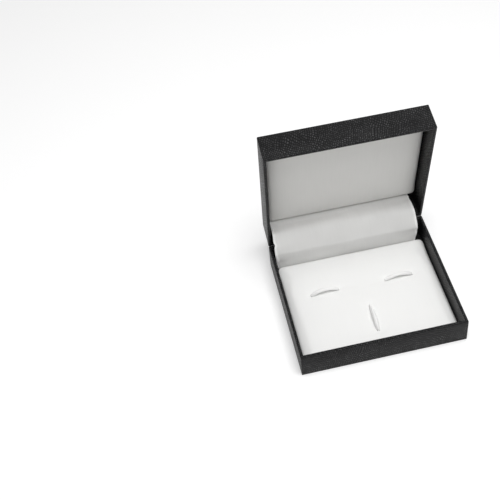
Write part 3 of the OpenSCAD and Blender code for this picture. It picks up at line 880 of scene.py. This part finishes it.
# %% Bend a sheet over the hinge
def bent_sheet(name, half, foot, centre, run_on, columns, rows):
    """A line of points across the box, extruded up from its foot, spun back over the
    hinge by the open angle, and extruded on along the lid."""
    bpy.ops.object.select_all(action="DESELECT")
    bpy.ops.mesh.primitive_grid_add(x_subdivisions=columns, y_subdivisions=1, size=1,
                                    location=(0, foot.y + 0.5, foot.z))
    sheet = bpy.context.object
    sheet.name = sheet.data.name = name
    sheet.scale = (2 * half, 1, 1)
    set_down(sheet)
    edit(sheet)
    pick(sheet, "VERT", lambda v: v.co.y > foot.y + 0.5)
    bpy.ops.mesh.delete(type="VERT")
    pick(sheet, "VERT", lambda v: True)
    up, turn, on = rows
    for _ in range(up):
        bpy.ops.mesh.extrude_region_move(TRANSFORM_OT_translate={"value": (0, 0, (centre.z - foot.z) / up)})
    sweep(turn, OPEN, centre, (-1, 0, 0))
    for _ in range(on):
        bpy.ops.mesh.extrude_region_move(TRANSFORM_OT_translate={"value": LID_UP * (run_on / on)})
    bpy.ops.mesh.select_all(action="SELECT")
    bpy.ops.mesh.remove_doubles(threshold=0.002 * MM)
    done()
    return sheet


def path_and_turn(points):
    """For each point on the flap: how far up the strip it lies, and how far it has bent."""
    turn = np.arctan2(points[:, 2] - BEND_CENTRE.z, BEND_CENTRE.y - points[:, 1])
    up = points[:, 2] - FLAP_FOOT
    on = (points - np.array(BEND_HIGH)) @ np.array(LID_UP)
    upright = BEND_LOW.z - FLAP_FOOT
    bent = np.where(turn < OPEN, upright + FLAP_BEND * turn, upright + FLAP_BEND * OPEN + on)
    return np.where(turn < 0, up, bent), np.clip(turn, 0, OPEN)


# %% [markdown]
# A real flap isn't a perfect curve. It has a soft crease where it leaves the pad, because
# the satin bridges there, it swells a little between its ends, and its ends bow out and
# pucker where the satin is turned round the card. The card gets the same shape, so that
# it follows its satin. The two still touch in places at rest, and near the end of the
# lid's travel they cut up to 0.9 mm into each other. That fault isn't mended.

# %% Soft form of the flap
HIDDEN_RUN, SHOWN_TO = 5.2 * MM, 32 * MM
FADE_IN, FADE_OUT = 4 * MM, 5 * MM
CREASE_RISE, CREASE_TILT, CREASE_FADE, CREASE_OUT = 2.5 * MM, 0.4 * MM, 2.5 * MM, 1.0 * MM
PUCKER_OUT, PUCKER_FADE, PUCKER_PER_MM = 0.3 * MM, 5 * MM, 0.85
WAVE_OUT, WAVE_ACROSS, WAVE_UP = 0.22 * MM, 9.5 * MM, 5.2 * MM
SLANT_SHARE, SLANT_ACROSS, SLANT_UP = 0.6, 5.3 * MM, 8 * MM
BEAD_OUT, BEAD_INSET, BEAD_HALF = 0.4 * MM, 0.7 * MM, 0.5 * MM
TUCK_IN, TUCK_START, TUCK_RUN = 1.85 * MM, 24.5 * MM, 8 * MM
KINK_IN, KINK_AT, KINK_HALF, KINK_REACH = 0.55 * MM, 19.5 * MM, 0.9 * MM, 6 * MM
END_HIGHLIGHT_HALF = 0.5 * MM


def waves(x, far):
    """Slow swells over the flap, between about -1.6 and 1.6."""
    slow = np.sin(x / WAVE_ACROSS + 0.7) * np.sin(far / WAVE_UP + 0.4)
    return slow + SLANT_SHARE * np.sin(x / SLANT_ACROSS + far / SLANT_UP)


# %% Shape the flap
def shape_flap(sheet):
    """Adds the crease, swells, puckers, beads, tuck and bow, and marks the ends that get a painted highlight.
    """
    points = points_of(sheet)
    far, turn = path_and_turn(points)
    crease = BEND_LOW.z - FLAP_FOOT + CREASE_RISE - points[:, 0] / FLAP_HALF * CREASE_TILT
    lean = np.where(far < crease, np.clip((far - HIDDEN_RUN) / (crease - HIDDEN_RUN), 0, 1),
                    np.exp(-np.maximum(far - crease, 0) / CREASE_FADE))
    shown = np.clip((far - HIDDEN_RUN) / FADE_IN, 0, 1) * np.clip((SHOWN_TO - far) / FADE_OUT, 0, 1)
    to_end = FLAP_HALF - np.abs(points[:, 0])
    pucker = np.exp(-np.maximum(to_end, 0) / PUCKER_FADE)
    pucker *= np.sin(far / MM * PUCKER_PER_MM + np.sign(points[:, 0]))
    bead = np.exp(-((to_end - BEAD_INSET) / BEAD_HALF) ** 2)
    tuck = np.clip((far - TUCK_START) / TUCK_RUN, 0, 1)
    tuck = tuck * tuck * (3 - 2 * tuck)
    swells = pucker * PUCKER_OUT + waves(points[:, 0], far) * WAVE_OUT + bead * BEAD_OUT
    out = lean * CREASE_OUT + shown * swells - tuck * TUCK_IN
    low, high = FLOOR, HINGE.z + meet + FLAP_BEND / 2
    u = np.clip(2 * (points[:, 2] - low) / (high - low) - 1, -1, 1)
    points[:, 0] *= 1 + FLAP_BOW * (1 - u ** 2) / FLAP_HALF
    left_end = np.clip(1 - (points[:, 0] + FLAP_HALF) / KINK_REACH, 0, 1)
    points[:, 0] += left_end * KINK_IN * np.exp(-((far - KINK_AT) / KINK_HALF) ** 2)
    points[:, 0] += FLAP_SHIFT
    points[:, 1] -= out * np.cos(turn)
    points[:, 2] += out * np.sin(turn)
    move_points(sheet, points)
    # This attribute marks where the flap's ends are painted lighter, as a painted highlight.
    hem = sheet.data.attributes.new("hem", "FLOAT", "POINT")
    hem.data.foreach_set("value", np.clip(2.2 - to_end / END_HIGHLIGHT_HALF, 0, 1).astype(np.float32))


def unwrap_path(piece):
    """Lays the satin out along the bend: across the box, and up the flap."""
    layer = uv_map(piece)
    points = points_of(piece)
    far, _ = path_and_turn(points)
    for loop in piece.data.loops:
        layer.data[loop.index].uv = (points[loop.vertex_index, 0], far[loop.vertex_index])


def flap_layer(name, thick, half, run_on, edge_round):
    layer = bent_sheet(name, half, Vector((0, BEND_LOW.y, FLAP_FOOT)), BEND_CENTRE, run_on, 96, (14, 34, 10))
    points = points_of(layer)
    across = points[:, 0] / half
    points[:, 0] = half * np.sign(across) * (1 - np.clip(1 - np.abs(across), 0, 1) ** 1.5)
    move_points(layer, points)
    shape_flap(layer)
    finish_with(layer, "SOLIDIFY", thickness=thick, offset=0, use_even_offset=True)
    round_folds(layer, edge_round, 3)
    return layer


flap_cover = flap_layer("hinge_flap_satin", FLAP_CARD + 2 * FLAP_COVER, FLAP_HALF, LID_RUN + FLAP_COVER,
                        0.4 * MM)
finish_with(flap_cover, "SOLIDIFY", thickness=FLAP_COVER - 0.03 * MM, offset=-1, use_even_offset=False)
flap_card = flap_layer("hinge_flap_card", FLAP_CARD, FLAP_HALF - 0.5 * MM, LID_RUN - 0.2 * MM, 0.08 * MM)
flap_card.data.transform(Matrix.Translation((0, 0, 0.1 * MM)))
for piece in (flap_cover, flap_card):
    unwrap_path(piece)
    smooth(piece, 50)

# %% [markdown]
# ## The bow springs
# Each hinge has a flat bow spring, which snaps the box open and shut. It lies along both
# leaves and bends with them. It is made by the same bent sheet, much smaller, round the
# hinge pin.

# %% Springs
SPRING_OFF = 2.4 * MM
SPRING_REACH = 7.5 * MM
springs = []
for side, word in ((-1, "left"), (1, "right")):
    foot = HINGE + Vector((0, -SPRING_OFF, -SPRING_REACH))
    spring = bent_sheet("hinge_bow_spring_" + word, 3 * MM, foot, HINGE, SPRING_REACH, 6, (4, 12, 4))
    finish_with(spring, "SOLIDIFY", thickness=0.3 * MM, offset=0, use_even_offset=True)
    round_folds(spring, 0.07 * MM, 2)
    spring.data.transform(Matrix.Translation((side * HINGE_X, 0, 0)))
    smooth(spring, 40)
    springs.append((spring, word))

# %% [markdown]
# ## Finishes that mostly stay hidden
# The trays are black moulded plastic with a fine spark-eroded texture. The card in the
# pads is grey board with flecks, and the flap's is off-white. The hinges are steel with a
# nickel finish, brushed along their length, and the springs are darker hardened steel. A
# sheet of black paper fills the opening underneath.

# %% Plastic, board, paper and steel
def moulded_plastic():
    paint = Paint("black_moulded_plastic", Specular_IOR_Level=0.4)
    place = paint.place("Object")
    grit = paint.noise(place, 7, 3)
    flow = paint.noise(place, 0.08, 2)
    paint.feed("Base Color", paint.mix(flow, (0.008, 0.008, 0.009), (0.018, 0.018, 0.019)))
    paint.feed("Roughness", 0.5 + grit * 0.2)
    paint.emboss(grit, 0.03 * MM, 0.7)
    return paint.material


def fibre_board(name, dark, light, fleck, depth):
    """Board or paper: short fibres from two stretched noises, and a few flecks."""
    paint = Paint(name, Roughness=0.9, Specular_IOR_Level=0.25)
    place = paint.place("Object")
    across = paint.add("ShaderNodeMapping", {}, {"Vector": place, "Scale": (0.3, 1, 1)})
    along = paint.add("ShaderNodeMapping", {}, {"Vector": place, "Scale": (1, 0.3, 1)})
    fibres = (paint.noise(across, 4, 3) + paint.noise(along, 4, 3)) * 0.5
    flecks = paint.ramp(paint.noise(place, 1.4, 4), (0.0, 0.0), (0.62, 0.0), (0.68, 1.0))
    tone = paint.mix(fibres, dark, light)
    paint.feed("Base Color", paint.mix(flecks * 0.6, tone, fleck))
    paint.emboss(fibres, depth, 0.8)
    return paint.material


def brushed_steel(name, dark, light, rough):
    paint = Paint(name, Metallic=1.0)
    place = paint.place("Object")
    drawn = paint.add("ShaderNodeMapping", {}, {"Vector": place, "Scale": (0.12, 3, 3)})
    lines = paint.noise(drawn, 3, 3)
    stains = paint.noise(place, 0.35, 3)
    paint.feed("Base Color", paint.mix((lines * 0.5 + stains * 0.5).clamped(), dark, light))
    paint.feed("Roughness", rough + lines * 0.12 + stains * 0.1)
    paint.emboss(lines, 0.01 * MM, 0.5)
    return paint.material


PLASTIC = moulded_plastic()
BLACK_PAPER = fibre_board("black_lining_paper", (0.006, 0.006, 0.006), (0.022, 0.022, 0.021),
                          (0.035, 0.034, 0.032), 0.04 * MM)
GREY_BOARD = fibre_board("grey_board", (0.30, 0.27, 0.23), (0.44, 0.41, 0.36),
                         (0.20, 0.17, 0.14), 0.05 * MM)
WHITE_BOARD = fibre_board("white_board", (0.62, 0.61, 0.58), (0.76, 0.75, 0.72),
                          (0.50, 0.48, 0.44), 0.03 * MM)
NICKEL = brushed_steel("nickel_plated_steel", (0.50, 0.49, 0.47), (0.66, 0.65, 0.63), 0.22)
SPRING_STEEL = brushed_steel("hardened_spring_steel", (0.20, 0.20, 0.21), (0.36, 0.35, 0.35), 0.28)


def refinish(material, *names):
    """Gives a node that keeps its own mesh a better material."""
    for name in names:
        for place in nodes[name].material_slots:
            place.material = material
        print(name, "refinished")


refinish(PLASTIC, "base_shell", "lid_shell")
refinish(BLACK_PAPER, "bottom_sheet")
refinish(GREY_BOARD, "base_pad_card", "lid_pad_card")
refinish(NICKEL, "hinge_base_leaf_left", "hinge_base_leaf_right", "hinge_lid_leaf_left",
         "hinge_lid_leaf_right", "hinge_pin_left", "hinge_pin_right", "hinge_base_rivets", "hinge_lid_rivets")
dress(flap_cover, SHADED_FLAP_SATIN, None, ["flap_cover"])
dress(flap_card, WHITE_BOARD, None, ["flap_card"])
for spring, word in springs:
    dress(spring, SPRING_STEEL, None, ["hinge_spring_" + word])

# %% [markdown]
# ## Floor, light and backdrop
# The picture is on pure white, so the floor and the world look white to the camera but
# light the box no more than a normal room would.

# %% Floor and lights
bpy.ops.object.select_all(action="DESELECT")
bpy.ops.mesh.primitive_plane_add(size=6, location=(0, 0, 0))
floor = bpy.context.object
floor.name = "floor"
floor_paint = Paint("white_floor", Roughness=0.9, Specular_IOR_Level=0.1)
floor_paint.shader.inputs["Base Color"].default_value = (0.88, 0.88, 0.88, 1)
floor_paint.shader.inputs["Emission Strength"].default_value = 1.0
seen_direct = floor_paint.add("ShaderNodeLightPath", out="Is Camera Ray")
floor_paint.feed("Emission Color", floor_paint.mix(seen_direct, (0, 0, 0), (0.24, 0.24, 0.24)))
floor.data.materials.append(floor_paint.material)

ROOM_LIGHT = 0.5
world = bpy.data.worlds.new("studio")
bpy.context.scene.world = world
world.use_nodes = True
sky_tree = world.node_tree
sky_tree.nodes.clear()


def sky_node(kind, values, out=0, **settings):
    node = sky_tree.nodes.new(kind)
    for name, value in settings.items():
        setattr(node, name, value)
    for name, value in values.items():
        if isinstance(value, bpy.types.NodeSocket):
            sky_tree.links.new(value, node.inputs[name])
        else:
            node.inputs[name].default_value = value
    return node.outputs[out] if node.outputs else None


straight = sky_node("ShaderNodeLightPath", {}, "Is Camera Ray")
mirrored = sky_node("ShaderNodeLightPath", {}, "Is Glossy Ray")
through = sky_node("ShaderNodeLightPath", {}, "Is Transmission Ray")
seen = sky_node("ShaderNodeMath", {0: straight, 1: mirrored}, operation="MAXIMUM")
seen = sky_node("ShaderNodeMath", {0: seen, 1: through}, operation="MAXIMUM")
strength = sky_node("ShaderNodeMapRange", {"Value": seen, "To Min": ROOM_LIGHT, "To Max": 1.0}, "Result")
light = sky_node("ShaderNodeBackground", {"Strength": strength})
sky_node("ShaderNodeOutputWorld", {"Surface": light})


def soft_lamp(name, place, aim, size, power):
    data = bpy.data.lights.new(name, "AREA")
    data.shape, data.size, data.energy = "DISK", size, power
    lamp = bpy.data.objects.new(name, data)
    bpy.context.scene.collection.objects.link(lamp)
    lamp.location = place
    lamp.rotation_euler = (Vector(aim) - Vector(place)).to_track_quat("-Z", "Y").to_euler()


soft_lamp("overhead", place=(0.05, -0.12, 0.70), aim=(0, 0, 0.02), size=0.5, power=3.6)
bpy.context.scene.view_settings.view_transform = "Standard"

# %% Bake the flap and the springs in place
for piece in (flap_cover, flap_card):
    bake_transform(piece)
for spring, word in springs:
    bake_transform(spring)
FLAP_RUN = BEND_LOW.z - FLAP_FOOT + FLAP_BEND * OPEN + LID_RUN
2 * FLAP_RUN
flat_sizes = [round(2 * half / MM, 1) for half in (FLAP_HALF, FLAP_RUN)]
print("satin of the flap before it is folded:", *flat_sizes, "mm")
